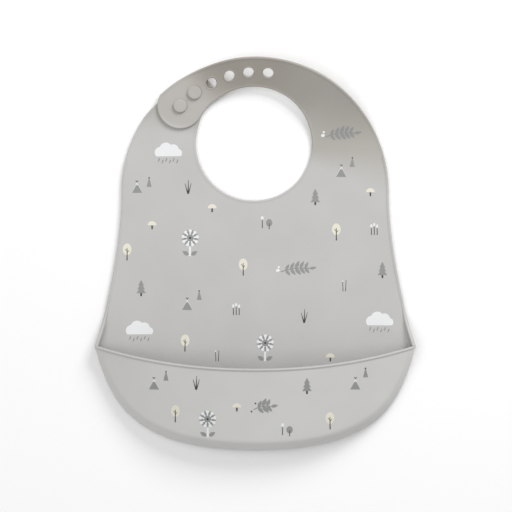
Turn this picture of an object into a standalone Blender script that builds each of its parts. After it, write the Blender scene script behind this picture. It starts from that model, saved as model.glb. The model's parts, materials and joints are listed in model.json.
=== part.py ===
"""Silicone baby bib with a catch pocket, lying flat and fastened.

Frame: X to the wearer's left, Y from the pocket up to the neck strap, Z out of the front face.
The origin lies under the middle of the bib's outline, on the surface that its back rests on.
The soft moulding is divided at the lines along which it bends: two folds across the panel, the
foot of the pocket front, and radial lines across the neck strap.
"""

from math import atan2, cos, pi, radians, sin, sqrt, tan

import bmesh
import bpy
from mathutils import Matrix, Vector

# Overall outline, in metres
LENGTH = 0.300
ARCH_RADIUS = 0.102
CORNER_HALF_WIDTH = 0.1223
CORNER_HEIGHT = 0.080
SHEET = 0.002
RIB_RADIUS = 0.001
RIB_INSET = 0.0013
RIB_SINK = 0.00015
GAP = 0.0003

# Shape of the long edges, from the arch down to the pocket corners and round the bottom
SIDE_HANDLE = 0.040
CORNER_FLARE = Vector((0.0093, 0.030))
CORNER_TURN = Vector((0.0103, 0.038))
BOTTOM_ROUND = 0.0223

# Neck opening and fold lines
NECK_RADIUS = 0.044
STRAP_WIDTH = 0.0227
LOWER_FOLD_Y = -0.052
UPPER_FOLD_Y = 0.000

# Side flanges that turn up beside the pocket corners
FLANGE_LEAN = 0.0046
FLANGE_START_HEIGHT = 0.0036
FLANGE_CORNER_HEIGHT = 0.0110
LEAN_RUN_OUT = 0.30

# Pocket
LIP_SAG = 0.0186
LIP_HEIGHT = 0.036
POCKET_FOOT_HEIGHT = 0.0195
POCKET_FILLET = 0.008
POCKET_START = 0.035
FRONT_HALF_WIDTH = 0.082
FRONT_INSET = 0.0095
FRONT_CLEARANCE = 0.0014
FRONT_HINGE_DROP = 0.0019
LIP_FAN = 0.18

# Neck strap, by its angle around the neck opening
STRAP_ROOT = radians(14)
STRAP_BENDS = (radians(38), radians(62), radians(88), radians(118))
STUD_TAB_ROOT = radians(172)
STRAP_END = radians(152.6)
STRAP_END_BULGE = 0.0013
STRAP_END_INSET = 0.0031
STRAP_END_TAPER = radians(32.6)
CROWN_LIFT = 0.004
CROWN_TILT = radians(31)
CROWN_FROM = radians(52)
CROWN_TO = radians(106)
STRAP_FLAT_FROM = radians(123)

# Closure
HOLE_PITCH = 0.0149
HOLE_COUNT = 6
HOLE_RADIUS = 0.0040
STUD_COUNT = 2
STUD_STEM_RADIUS = 0.0033
STUD_HEAD_RADIUS = 0.00525
STUD_HEAD_HEIGHT = 0.0018
STUD_HEAD_EDGE = 0.0005
TAB_END_RADIUS = 0.014

# Fineness of the curved outlines
OUTLINE_STEPS = 14
POCKET_STEPS = 15
HOLE_SEGMENTS = 18

TOP_Y = LENGTH / 2
BOTTOM_Y = -LENGTH / 2
ARCH_Y = TOP_Y - ARCH_RADIUS
NECK_Y = TOP_Y - STRAP_WIDTH - NECK_RADIUS
NECK_ABOVE_ARCH = NECK_Y - ARCH_Y
CORNER = Vector((CORNER_HALF_WIDTH, BOTTOM_Y + CORNER_HEIGHT))
LIP_LOW_Y = CORNER.y - LIP_SAG
LAP_HEIGHT = 2 * SHEET + GAP
RIB_TOP = SHEET + RIB_RADIUS - RIB_SINK


# ---------------------------------------------------------------- small maths
def mix(a, b, share):
    return a + (b - a) * share


def ease(value):
    value = min(max(value, 0.0), 1.0)
    return value * value * (3 - 2 * value)


def steps(start, end, count):
    return [mix(start, end, i / count) for i in range(count + 1)]


def bezier(points, t):
    a, b, c, d = points
    return (1 - t) ** 3 * a + 3 * (1 - t) ** 2 * t * b + 3 * (1 - t) * t * t * c + t ** 3 * d


# ------------------------------------------------------- the bib's own outline
def side_edge(t):
    """The right-hand edge, from the foot of the arch (t = 0) to the pocket corner (t = 1)."""
    start = Vector((ARCH_RADIUS, ARCH_Y))
    handle = start - Vector((0, SIDE_HANDLE))
    return bezier((start, handle, CORNER + Vector((-CORNER_FLARE.x, CORNER_FLARE.y)), CORNER), t)


def side_t(y):
    """Where along side_edge the edge is at height y."""
    low, high = 0.0, 1.0
    for _ in range(40):
        middle = (low + high) / 2
        if side_edge(middle).y > y:
            low = middle
        else:
            high = middle
    return low


def pocket_edge(t):
    """The right-hand pocket outline, from the corner (t = 0) to the bottom middle (t = 1)."""
    turn = CORNER - CORNER_TURN
    bottom = Vector((CORNER_HALF_WIDTH - BOTTOM_ROUND, BOTTOM_Y))
    return bezier((CORNER, turn, bottom, Vector((0, BOTTOM_Y))), t)


def flange_lean(y):
    """How far the flange's top overhangs the flat back, at height y beside the corner."""
    return FLANGE_LEAN * ease((LOWER_FOLD_Y - y) / (LOWER_FOLD_Y - CORNER.y))


def neck_point(angle, radius, shift=0.0):
    """A point by its angle and radius from the neck centre, moved sideways by shift."""
    along = Vector((cos(angle), sin(angle)))
    across = Vector((-along.y, along.x))
    return Vector((0, NECK_Y)) + radius * along + shift * across


def arch_radius(angle):
    """Distance from the neck centre to the arch's outer edge."""
    inside = ARCH_RADIUS ** 2 - (NECK_ABOVE_ARCH * cos(angle)) ** 2
    return -NECK_ABOVE_ARCH * sin(angle) + sqrt(inside)


def mirrored(points):
    return [Vector((-p.x, p.y)) for p in reversed(points)]


# ------------------------------------------------------------- the neck strap
def end_taper(angle):
    return ease(1 - (STRAP_END - angle) / STRAP_END_TAPER)


def strap_inner(angle):
    return NECK_RADIUS + STRAP_END_INSET * end_taper(angle)


def strap_outer(angle):
    """The face's outer radius, inside the arch by what the tilted underside needs."""
    underside = SHEET * sin(strap_tilt(angle))
    return arch_radius(angle) + STRAP_END_BULGE * end_taper(angle) - underside


def strap_middle(angle):
    return (strap_inner(angle) + strap_outer(angle)) / 2


def crown(angle):
    """0 where the strap lies flat, 1 where it stands up over the back of the neck."""
    rise = ease((angle - STRAP_ROOT) / (CROWN_FROM - STRAP_ROOT))
    fall = ease((STRAP_FLAT_FROM - angle) / (STRAP_FLAT_FROM - CROWN_TO))
    return min(rise, fall)


def strap_tilt(angle):
    return CROWN_TILT * crown(angle)


def strap_top(angle, radius):
    """Height of the strap's top face."""
    over_tab = LAP_HEIGHT - SHEET
    base = over_tab * ease((angle - CROWN_TO) / (STRAP_FLAT_FROM - CROWN_TO))
    base = max(base, CROWN_LIFT * crown(angle))
    return SHEET + base + tan(strap_tilt(angle)) * (radius - strap_inner(angle))


def hole_angles():
    """The closure's holes, one pitch apart along the strap, from its free end."""
    angles = [STRAP_END]
    while len(angles) < HOLE_COUNT:
        angles.append(angles[-1] - HOLE_PITCH / strap_middle(angles[-1]))
    return angles


# ------------------------------------------------------------------ the pocket
def lip_y(x):
    return LIP_LOW_Y + LIP_SAG * (abs(x) / CORNER_HALF_WIDTH) ** 2.1


def front_height(x, y):
    """Height of the pocket's front face above the table."""
    slope = (LIP_HEIGHT - POCKET_FOOT_HEIGHT) / (LIP_LOW_Y - BOTTOM_Y)
    at_corner = POCKET_FOOT_HEIGHT + slope * CORNER_HEIGHT
    drop = (at_corner - FLANGE_CORNER_HEIGHT) * (abs(x) / CORNER_HALF_WIDTH) ** 2.5
    return POCKET_FOOT_HEIGHT + slope * (y - BOTTOM_Y) - drop


def lip_point(t):
    """The lip's point that faces pocket_edge(t)."""
    x = pocket_edge(t).x * (1 - LIP_FAN * sin(t * pi / 2))
    return Vector((x, lip_y(x)))


def pocket_section(t):
    """One section through the pocket's outer face, from its foot up over the front to the lip."""
    foot = pocket_edge(t)
    run = lip_point(t) - foot
    fillet = min(POCKET_FILLET, 0.6 * run.length)
    inward = run.normalized()
    rows = []
    for turn in (0, 15, 32, 52, 72, 90):
        at = foot + inward * fillet * (1 - cos(radians(turn)))
        rise = sin(radians(turn))
        rows.append(Vector((*at, mix(SHEET + GAP, front_height(*at), rise))))
    for share in (0.2, 0.4, 0.6, 0.8, 1.0):
        at = foot + inward * mix(fillet, run.length, share)
        rows.append(Vector((*at, front_height(*at))))
    return rows


# ------------------------------------------------------------------- modelling
def clear_scene():
    for item in list(bpy.data.objects):
        bpy.data.objects.remove(item, do_unlink=True)
    for mesh in list(bpy.data.meshes):
        bpy.data.meshes.remove(mesh)
    for curve in list(bpy.data.curves):
        bpy.data.curves.remove(curve)


def new_collection(name):
    collection = bpy.data.collections.new(name)
    bpy.context.scene.collection.children.link(collection)
    return collection


def silicone(name, colour):
    material = bpy.data.materials.new(name)
    material.use_nodes = True
    shader = material.node_tree.nodes["Principled BSDF"]
    shader.inputs["Base Color"].default_value = (*colour, 1)
    shader.inputs["Roughness"].default_value = 0.55
    shader.inputs["Metallic"].default_value = 0.0
    material.diffuse_color = (*colour, 1)
    return material


def make_cutter(item):
    item.hide_render = True
    item.display_type = "WIRE"
    for collection in list(item.users_collection):
        collection.objects.unlink(item)
    CUTTERS.objects.link(item)


def curve_to_mesh(curve, name):
    """The curve's mesh, with its loose caps welded on."""
    holder = bpy.data.objects.new(name + "_curve", curve)
    PARTS.objects.link(holder)
    depsgraph = bpy.context.evaluated_depsgraph_get()
    mesh = bpy.data.meshes.new_from_object(holder.evaluated_get(depsgraph))
    matrix = holder.matrix_world.copy()
    bpy.data.objects.remove(holder, do_unlink=True)
    bpy.data.curves.remove(curve)
    edit = bmesh.new()
    edit.from_mesh(mesh)
    bmesh.ops.remove_doubles(edit, verts=edit.verts, dist=0.00001)
    bmesh.ops.recalc_face_normals(edit, faces=edit.faces)
    edit.to_mesh(mesh)
    edit.free()
    item = bpy.data.objects.new(name, mesh)
    item.matrix_world = matrix
    PARTS.objects.link(item)
    return item


def plate(name, outline, low, high):
    """A flat sheet with the given outline, between two heights."""
    curve = bpy.data.curves.new(name, "CURVE")
    curve.dimensions = "2D"
    curve.fill_mode = "BOTH"
    curve.extrude = (high - low) / 2
    spline = curve.splines.new("POLY")
    spline.points.add(len(outline) - 1)
    for point, at in zip(spline.points, outline):
        point.co = (at.x, at.y, 0, 1)
    spline.use_cyclic_u = True
    item = curve_to_mesh(curve, name)
    item.data.transform(Matrix.Translation((0, 0, (low + high) / 2)))
    return item


def rib(name, line, height):
    """A round rib laid along a line of points."""
    curve = bpy.data.curves.new(name, "CURVE")
    curve.dimensions = "3D"
    curve.bevel_depth = RIB_RADIUS
    curve.bevel_resolution = 1
    curve.use_fill_caps = True
    spline = curve.splines.new("POLY")
    spline.points.add(len(line) - 1)
    for point, at in zip(spline.points, line):
        point.co = (at.x, at.y, height, 1)
    return curve_to_mesh(curve, name)


def sheet(name, columns, face_up=True):
    """A sheet of the silicone's thickness below the surface through the columns of points."""
    edit = bmesh.new()
    rows = [[edit.verts.new(at) for at in column] for column in columns]
    for left, right in zip(rows, rows[1:]):
        for a, b, c, d in zip(left, right, right[1:], left[1:]):
            edit.faces.new((a, b, c, d))
    bmesh.ops.remove_doubles(edit, verts=edit.verts, dist=0.00001)
    bmesh.ops.recalc_face_normals(edit, faces=edit.faces)
    upward = sum(face.normal.z * face.calc_area() for face in edit.faces) > 0
    if upward != face_up:
        bmesh.ops.reverse_faces(edit, faces=edit.faces)
    mesh = bpy.data.meshes.new(name)
    edit.to_mesh(mesh)
    edit.free()
    item = bpy.data.objects.new(name, mesh)
    PARTS.objects.link(item)
    thicken = item.modifiers.new("thickness", "SOLIDIFY")
    thicken.thickness = SHEET
    thicken.offset = -1
    return item


def combine(item, other, operation):
    """Join or cut item with a second object, which is kept as a hidden cutter."""
    make_cutter(other)
    boolean = item.modifiers.new(other.name, "BOOLEAN")
    boolean.operation = operation
    boolean.object = other
    boolean.solver = "EXACT"


def finish(item, material, shift_origin=None):
    """Give the sub-part its material and put its origin on its joint's axis."""
    item.data.materials.clear()
    item.data.materials.append(material)
    if shift_origin is not None:
        item.data.transform(Matrix.Translation(-shift_origin))
        item.location = shift_origin


# ---------------------------------------------------------------- the sub-parts
def rib_line(points):
    """A line a little inside the outline, which the rib then follows."""
    line = []
    for i, at in enumerate(points):
        before = points[max(i - 1, 0)]
        after = points[min(i + 1, len(points) - 1)]
        along = (after - before).normalized()
        line.append(at + Vector((along.y, -along.x)) * RIB_INSET)
    return line


def side_points(from_y, to_y):
    """The right-hand edge between two heights, going down."""
    return [side_edge(t) for t in steps(side_t(from_y), side_t(to_y), OUTLINE_STEPS)]


def add_rib(item, points):
    """Join a rib along the points, which stops short of both ends by its own radius."""
    line = rib_line(points)
    first = (line[1] - line[0]).normalized()
    last = (line[-2] - line[-1]).normalized()
    line[0] = line[0] + first * (RIB_RADIUS + GAP)
    line[-1] = line[-1] + last * (RIB_RADIUS + GAP)
    combine(item, rib(item.name + "_rib_%d" % len(item.modifiers), line, SHEET - RIB_SINK), "UNION")


def lower_panel():
    """The flat back behind the pocket."""
    side = side_points(LOWER_FOLD_Y - GAP / 2, CORNER.y)
    right = [p - Vector((flange_lean(p.y), 0)) for p in side]
    for t in steps(0, 1, 2 * OUTLINE_STEPS)[1:]:
        lean = FLANGE_LEAN * (1 - ease(t / LEAN_RUN_OUT))
        right.append(pocket_edge(t) - Vector((lean, 0)))
    outline = right + mirrored(right)[1:]
    item = plate("lower_panel", outline, 0, SHEET)
    finish(item, GREY)


def side_flange(side_name, sign):
    """The turned-up edge that runs into the pocket's corner."""
    columns = []
    start = LOWER_FOLD_Y - GAP
    for edge in side_points(start, CORNER.y + GAP):
        share = ease((start - edge.y) / (start - CORNER.y))
        top = mix(FLANGE_START_HEIGHT, FLANGE_CORNER_HEIGHT, share)
        foot_x = edge.x - flange_lean(edge.y)
        foot = Vector((sign * foot_x, edge.y, SHEET + GAP))
        rim = Vector((sign * edge.x, edge.y, top))
        columns.append([foot, foot.lerp(rim, 0.5), rim])
    item = sheet("side_flange_" + side_name, columns, face_up=False)
    thicken = item.modifiers["thickness"]
    thicken.thickness = SHEET
    finish(item, GREY)


def pocket_shell(name):
    """The whole pocket skin, before the front is parted from the wall."""
    half = [pocket_section(t) for t in steps(POCKET_START, 1, POCKET_STEPS)]
    other = [[Vector((-p.x, p.y, p.z)) for p in rows] for rows in reversed(half)]
    return sheet(name, half + other[1:])


def front_outline(inset, half_width):
    """Outline of the pocket's movable front: inset from the pocket's edge, open past the lip."""
    right = []
    for t in steps(0.2, 1, 2 * OUTLINE_STEPS):
        edge = pocket_edge(t)
        inward = (lip_point(t) - edge).normalized()
        at = edge + inward * inset
        if at.x < half_width:
            right.append(at)
    right.insert(0, Vector((half_width, right[0].y)))
    right.insert(0, Vector((half_width, CORNER.y)))
    return right + mirrored(right)[1:]


def pocket_front():
    """The pocket's flat front, which gives in and out about its foot."""
    shell = pocket_shell("pocket_front")
    outline = front_outline(FRONT_INSET, FRONT_HALF_WIDTH)
    cutter = plate("front_outline", outline, 0, LIP_HEIGHT + 0.02)
    combine(shell, cutter, "INTERSECT")
    finish(shell, LIGHT, pocket_hinge())


def pocket_wall():
    """The pocket's bottom and side wall, with both corners up to the lip."""
    shell = pocket_shell("pocket_wall")
    outline = front_outline(FRONT_INSET - FRONT_CLEARANCE, FRONT_HALF_WIDTH + FRONT_CLEARANCE)
    cutter = plate("wall_outline", outline, -0.01, LIP_HEIGHT + 0.02)
    combine(shell, cutter, "DIFFERENCE")
    finish(shell, GREY)


def pocket_hinge():
    """The front's hinge line, midway between its edge's height in the middle and at its ends."""
    y = BOTTOM_Y + FRONT_INSET
    return Vector((0, y, front_height(0, y) - SHEET / 2 - FRONT_HINGE_DROP))


def mid_panel():
    """The band of panel between the two folds."""
    right = side_points(UPPER_FOLD_Y - GAP / 2, LOWER_FOLD_Y + GAP / 2)
    item = plate("mid_panel", right + mirrored(right), 0, SHEET)
    add_rib(item, right)
    add_rib(item, mirrored(right))
    finish(item, GREY, Vector((0, LOWER_FOLD_Y, RIB_TOP)))


def arch_points(from_angle, to_angle):
    return [neck_point(a, arch_radius(a)) for a in steps(from_angle, to_angle, OUTLINE_STEPS)]


def upper_panel():
    """The chest, with both shoulders and the lower neckline."""
    arch_foot = atan2(-NECK_ABOVE_ARCH, ARCH_RADIUS)
    half = GAP / 2
    right = list(reversed(side_points(ARCH_Y, UPPER_FOLD_Y + half)))
    shoulder = arch_points(arch_foot, STRAP_ROOT)
    shoulder[-1] = neck_point(STRAP_ROOT, arch_radius(STRAP_ROOT), -half)
    right += shoulder[1:]
    left = arch_points(STUD_TAB_ROOT, pi - arch_foot)
    left[0] = neck_point(STUD_TAB_ROOT, arch_radius(STUD_TAB_ROOT), half)
    left += mirrored(side_points(ARCH_Y, UPPER_FOLD_Y + half))[::-1][1:]
    neck_angles = steps(STRAP_ROOT, STUD_TAB_ROOT - 2 * pi, 3 * OUTLINE_STEPS)
    neck = [neck_point(a, NECK_RADIUS) for a in neck_angles]
    neck[0] = neck_point(STRAP_ROOT, NECK_RADIUS, -half)
    neck[-1] = neck_point(STUD_TAB_ROOT, NECK_RADIUS, half)
    item = plate("upper_panel", right + neck + left, 0, SHEET)
    add_rib(item, list(reversed(right)))
    add_rib(item, list(reversed(neck)))
    add_rib(item, list(reversed(left)))
    finish(item, GREY, Vector((0, UPPER_FOLD_Y, RIB_TOP)))


def strap_column(angle, half_width, shift):
    """Points across the strap at one angle."""
    column = []
    for share in (-1, -0.5, 0, 0.5, 1):
        radius = strap_middle(angle) + half_width * share
        at = neck_point(angle, radius, shift)
        column.append(Vector((*at, strap_top(angle, radius))))
    return column


def strap_hinge(angle):
    """Where the strap's hinge axis at this angle meets its inner edge."""
    inner = strap_inner(angle)
    return Vector((*neck_point(angle, inner), strap_top(angle, inner)))


def strap_half_width(angle):
    return (strap_outer(angle) - strap_inner(angle)) / 2


def hole_cutter(name, angle):
    """A pin square to the strap's face, as wide as a closure hole."""
    radius = strap_middle(angle)
    bpy.ops.mesh.primitive_cylinder_add(
        vertices=HOLE_SEGMENTS, radius=HOLE_RADIUS, depth=8 * SHEET, end_fill_type="NGON"
    )
    pin = bpy.context.object
    pin.name = name
    at = Vector((*neck_point(angle, radius), strap_top(angle, radius)))
    turn = Matrix.Rotation(angle, 4, "Z") @ Matrix.Rotation(-strap_tilt(angle), 4, "Y")
    pin.data.transform(Matrix.Translation(at) @ turn)
    return pin


def strap_piece(index, start, end):
    """One length of the strap between two bends, with the holes that fall on it."""
    name = "strap_%d" % index
    half = GAP / 2
    columns = [strap_column(start, strap_half_width(start), half)]
    for angle in steps(start, end, 6)[1:-1]:
        columns.append(strap_column(angle, strap_half_width(angle), 0))
    if end < STRAP_END:
        columns.append(strap_column(end, strap_half_width(end), -half))
    else:
        columns += strap_end_columns()
    item = sheet(name, columns)
    for number, angle in enumerate(hole_angles(), start=1):
        if start < angle <= end:
            combine(item, hole_cutter("hole_%d" % number, angle), "DIFFERENCE")
    finish(item, WARM, strap_hinge(start))


def strap_end_columns():
    """The strap's round end, centred on its last hole."""
    radius = strap_half_width(STRAP_END)
    columns = []
    for turn in steps(0, pi / 2, 7):
        angle = STRAP_END + radius * sin(turn) / strap_middle(STRAP_END)
        width = radius * cos(turn)
        column = []
        for share in (-1, -0.5, 0, 0.5, 1):
            reach = strap_middle(STRAP_END) + width * share
            column.append(Vector((*neck_point(angle, reach), LAP_HEIGHT)))
        columns.append(column)
    return columns


def tab_edges(angle, stud_angle):
    """Inner and outer radius of the stud tab, which narrows to its round end."""
    share = ease((STUD_TAB_ROOT - angle) / (STUD_TAB_ROOT - stud_angle))
    middle = strap_middle(stud_angle)
    inner = mix(NECK_RADIUS, middle - TAB_END_RADIUS, share)
    outer = mix(arch_radius(angle), middle + TAB_END_RADIUS, share * share)
    return inner, outer


def stud_tab():
    """The short arm under the strap's end, which carries the studs."""
    stud_angle = hole_angles()[STUD_COUNT - 1]
    columns = []
    for angle in steps(STUD_TAB_ROOT, stud_angle, 6):
        inner, outer = tab_edges(angle, stud_angle)
        shift = -GAP / 2 if angle == STUD_TAB_ROOT else 0
        columns.append([neck_point(angle, r, shift) for r in steps(inner, outer, 4)])
    for turn in steps(0, pi / 2, 7)[1:]:
        angle = stud_angle - TAB_END_RADIUS * sin(turn) / strap_middle(stud_angle)
        width = TAB_END_RADIUS * cos(turn)
        middle = strap_middle(stud_angle)
        columns.append([neck_point(angle, middle + width * s / 2) for s in (-2, -1, 0, 1, 2)])
    item = sheet("stud_tab", [[Vector((*at, SHEET)) for at in column] for column in columns])
    hinge = neck_point(STUD_TAB_ROOT, NECK_RADIUS)
    finish(item, GREY, Vector((*hinge, SHEET)))


def stud(number, angle):
    """A mushroom stud: a stem through the strap's hole and a flat head wider than the hole."""
    under_head = LAP_HEIGHT + GAP
    top = under_head + STUD_HEAD_HEIGHT
    profile = (
        (0, top),
        (STUD_HEAD_RADIUS - STUD_HEAD_EDGE, top),
        (STUD_HEAD_RADIUS, top - STUD_HEAD_EDGE),
        (STUD_HEAD_RADIUS, under_head),
        (STUD_STEM_RADIUS, under_head),
        (STUD_STEM_RADIUS, SHEET + GAP),
        (0, SHEET + GAP),
    )
    edit = bmesh.new()
    points = [edit.verts.new((x, 0, z)) for x, z in profile]
    for a, b in zip(points, points[1:]):
        edit.edges.new((a, b))
    mesh = bpy.data.meshes.new("stud_%d" % number)
    edit.to_mesh(mesh)
    edit.free()
    item = bpy.data.objects.new("stud_%d" % number, mesh)
    PARTS.objects.link(item)
    item.location = (*neck_point(angle, strap_middle(angle)), 0)
    turned = item.modifiers.new("turned", "SCREW")
    turned.steps = HOLE_SEGMENTS
    turned.render_steps = HOLE_SEGMENTS
    turned.use_merge_vertices = True
    turned.merge_threshold = 0.00001
    item.data.materials.append(GREY)


def build():
    lower_panel()
    side_flange("right", 1)
    side_flange("left", -1)
    pocket_wall()
    pocket_front()
    mid_panel()
    upper_panel()
    bends = (STRAP_ROOT, *STRAP_BENDS, STRAP_END)
    for index, (start, end) in enumerate(zip(bends, bends[1:]), start=1):
        strap_piece(index, start, end)
    stud_tab()
    for number, angle in enumerate(hole_angles()[:STUD_COUNT], start=1):
        stud(number, angle)


clear_scene()
PARTS = new_collection("silicone_bib")
CUTTERS = new_collection("cutters")
GREY = silicone("grey_silicone", (0.552, 0.543, 0.527))
LIGHT = silicone("pocket_silicone", (0.570, 0.570, 0.558))
WARM = silicone("strap_silicone", (0.430, 0.412, 0.385))
build()
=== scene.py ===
import json
from math import acos, atan2, cos, degrees, hypot, pi, radians, sin, sqrt, tan

import bmesh
import bpy
from mathutils import Matrix, Vector


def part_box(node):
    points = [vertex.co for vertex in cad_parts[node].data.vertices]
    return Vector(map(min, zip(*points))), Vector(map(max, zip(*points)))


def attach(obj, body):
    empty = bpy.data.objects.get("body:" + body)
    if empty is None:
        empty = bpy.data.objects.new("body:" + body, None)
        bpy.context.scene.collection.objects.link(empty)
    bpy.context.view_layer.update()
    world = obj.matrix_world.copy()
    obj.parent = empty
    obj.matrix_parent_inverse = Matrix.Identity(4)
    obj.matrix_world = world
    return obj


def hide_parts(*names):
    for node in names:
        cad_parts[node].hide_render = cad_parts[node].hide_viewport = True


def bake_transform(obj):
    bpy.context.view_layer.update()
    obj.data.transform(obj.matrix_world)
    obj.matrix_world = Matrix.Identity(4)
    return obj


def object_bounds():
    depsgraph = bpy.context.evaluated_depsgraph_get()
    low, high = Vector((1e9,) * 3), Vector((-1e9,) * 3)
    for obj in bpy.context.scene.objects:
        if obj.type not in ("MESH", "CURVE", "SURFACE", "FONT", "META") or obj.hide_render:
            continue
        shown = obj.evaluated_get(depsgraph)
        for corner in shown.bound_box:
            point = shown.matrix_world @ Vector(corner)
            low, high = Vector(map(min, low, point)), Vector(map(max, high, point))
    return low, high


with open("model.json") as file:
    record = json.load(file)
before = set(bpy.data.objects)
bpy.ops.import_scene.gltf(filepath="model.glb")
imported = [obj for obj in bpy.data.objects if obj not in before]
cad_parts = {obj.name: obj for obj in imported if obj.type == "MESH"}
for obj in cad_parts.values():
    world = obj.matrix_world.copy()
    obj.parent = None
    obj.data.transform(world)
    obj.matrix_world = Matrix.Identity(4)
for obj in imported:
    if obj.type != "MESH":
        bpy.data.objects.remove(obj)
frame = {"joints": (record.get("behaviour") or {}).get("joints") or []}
CAD_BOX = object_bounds()

# ------------------------------------------------------------------------------------------------
# The silicone: one soft moulding in a warm light grey with a fine satin grain and a faint
# cloudiness. Where it stands clear of the table its colour is made darker and warmer: painted shade.
# ------------------------------------------------------------------------------------------------
BIB_GREY = (0.472, 0.467, 0.456)
# Painted shade: the dark warm tint that the colour is multiplied towards where the sheet stands clear.
PAINTED_SHADE_TINT = (0.700, 0.660, 0.598)
SATIN_GRAIN = 0.00035
CLOUD_SIZE = 0.045


def group_tree(name, inputs, outputs):
    """An empty shader group with the given sockets."""
    tree = bpy.data.node_groups.new(name, "ShaderNodeTree")
    for socket_name, kind, value in inputs:
        socket = tree.interface.new_socket(socket_name, in_out="INPUT", socket_type=kind)
        socket.default_value = value
    for socket_name, kind in outputs:
        tree.interface.new_socket(socket_name, in_out="OUTPUT", socket_type=kind)
    return tree


def noise(tree, vector, size, detail):
    """Noise with features about as large as size, in metres."""
    node = tree.nodes.new("ShaderNodeTexNoise")
    node.inputs["Scale"].default_value = 1 / size
    node.inputs["Detail"].default_value = detail
    tree.links.new(vector, node.inputs["Vector"])
    return node.outputs["Fac"]


def spread(tree, value, low, high):
    """Stretch noise about its middle to run from low to high."""
    node = tree.nodes.new("ShaderNodeMapRange")
    node.inputs["From Min"].default_value = 0.3
    node.inputs["From Max"].default_value = 0.7
    node.inputs["To Min"].default_value = low
    node.inputs["To Max"].default_value = high
    tree.links.new(value, node.inputs["Value"])
    return node.outputs["Result"]


def moulded_skin_group():
    """Colour with painted shade mixed in, roughness and height of a moulded silicone skin."""
    tree = group_tree(
        "moulded_skin",
        [
            ("Position", "NodeSocketVector", (0, 0, 0)),
            ("Colour", "NodeSocketColor", (*BIB_GREY, 1)),
            ("Cloud", "NodeSocketFloat", 0.03),
            ("Roughness", "NodeSocketFloat", 0.5),
            ("Painted Shade", "NodeSocketFloat", 0.0),
        ],
        [
            ("Colour", "NodeSocketColor"),
            ("Roughness", "NodeSocketFloat"),
            ("Height", "NodeSocketFloat"),
        ],
    )
    source = tree.nodes.new("NodeGroupInput")
    result = tree.nodes.new("NodeGroupOutput")
    position = source.outputs["Position"]
    cloud = spread(tree, noise(tree, position, CLOUD_SIZE, 3), -1, 1)
    grain = noise(tree, position, SATIN_GRAIN, 2)
    speck = noise(tree, position, 0.0016, 4)

    strength = tree.nodes.new("ShaderNodeMath")
    strength.operation = "MULTIPLY_ADD"
    tree.links.new(cloud, strength.inputs[0])
    tree.links.new(source.outputs["Cloud"], strength.inputs[1])
    strength.inputs[2].default_value = 1.0
    tint = tree.nodes.new("ShaderNodeHueSaturation")
    tree.links.new(strength.outputs[0], tint.inputs["Value"])
    tree.links.new(source.outputs["Colour"], tint.inputs["Color"])
    # Painted shade: the colour is multiplied towards the dark warm tint by the share it is given.
    painted_shade_mix = tree.nodes.new("ShaderNodeMix")
    painted_shade_mix.data_type = "RGBA"
    painted_shade_mix.blend_type = "MULTIPLY"
    tree.links.new(source.outputs["Painted Shade"], painted_shade_mix.inputs["Factor"])
    tree.links.new(tint.outputs["Color"], painted_shade_mix.inputs["A"])
    painted_shade_mix.inputs["B"].default_value = (*PAINTED_SHADE_TINT, 1)
    tree.links.new(painted_shade_mix.outputs["Result"], result.inputs["Colour"])

    rough = tree.nodes.new("ShaderNodeMath")
    rough.operation = "ADD"
    tree.links.new(source.outputs["Roughness"], rough.inputs[0])
    tree.links.new(spread(tree, speck, -0.05, 0.05), rough.inputs[1])
    tree.links.new(rough.outputs[0], result.inputs["Roughness"])

    height = tree.nodes.new("ShaderNodeMath")
    height.operation = "MULTIPLY_ADD"
    tree.links.new(grain, height.inputs[0])
    height.inputs[1].default_value = 0.6
    tree.links.new(speck, height.inputs[2])
    tree.links.new(height.outputs[0], result.inputs["Height"])
    return tree


MOULDED_SKIN = moulded_skin_group()


def silicone(name, colour, cloud=0.03, roughness=0.52, grain_depth=0.00003):
    """A silicone finish with its shader's own plain values set on the shader."""
    material = bpy.data.materials.new(name)
    material.use_nodes = True
    tree = material.node_tree
    shader = tree.nodes["Principled BSDF"]
    shader.inputs["IOR"].default_value = 1.41
    shader.inputs["Specular IOR Level"].default_value = 0.42
    shader.inputs["Sheen Weight"].default_value = 0.12
    shader.inputs["Sheen Roughness"].default_value = 0.6
    place = tree.nodes.new("ShaderNodeTexCoord")
    skin = tree.nodes.new("ShaderNodeGroup")
    skin.node_tree = MOULDED_SKIN
    skin.inputs["Colour"].default_value = (*colour, 1)
    skin.inputs["Cloud"].default_value = cloud
    skin.inputs["Roughness"].default_value = roughness
    tree.links.new(place.outputs["Object"], skin.inputs["Position"])
    # Each point's share of painted shade, read from the clear attribute.
    clear = tree.nodes.new("ShaderNodeAttribute")
    clear.attribute_name = "clear"
    tree.links.new(clear.outputs["Fac"], skin.inputs["Painted Shade"])
    tree.links.new(skin.outputs["Colour"], shader.inputs["Base Color"])
    tree.links.new(skin.outputs["Roughness"], shader.inputs["Roughness"])
    bump = tree.nodes.new("ShaderNodeBump")
    bump.inputs["Strength"].default_value = 0.55
    bump.inputs["Distance"].default_value = grain_depth
    tree.links.new(skin.outputs["Height"], bump.inputs["Height"])
    tree.links.new(bump.outputs["Normal"], shader.inputs["Normal"])
    return material


BODY_SILICONE = silicone("bib_silicone", BIB_GREY)

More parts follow.
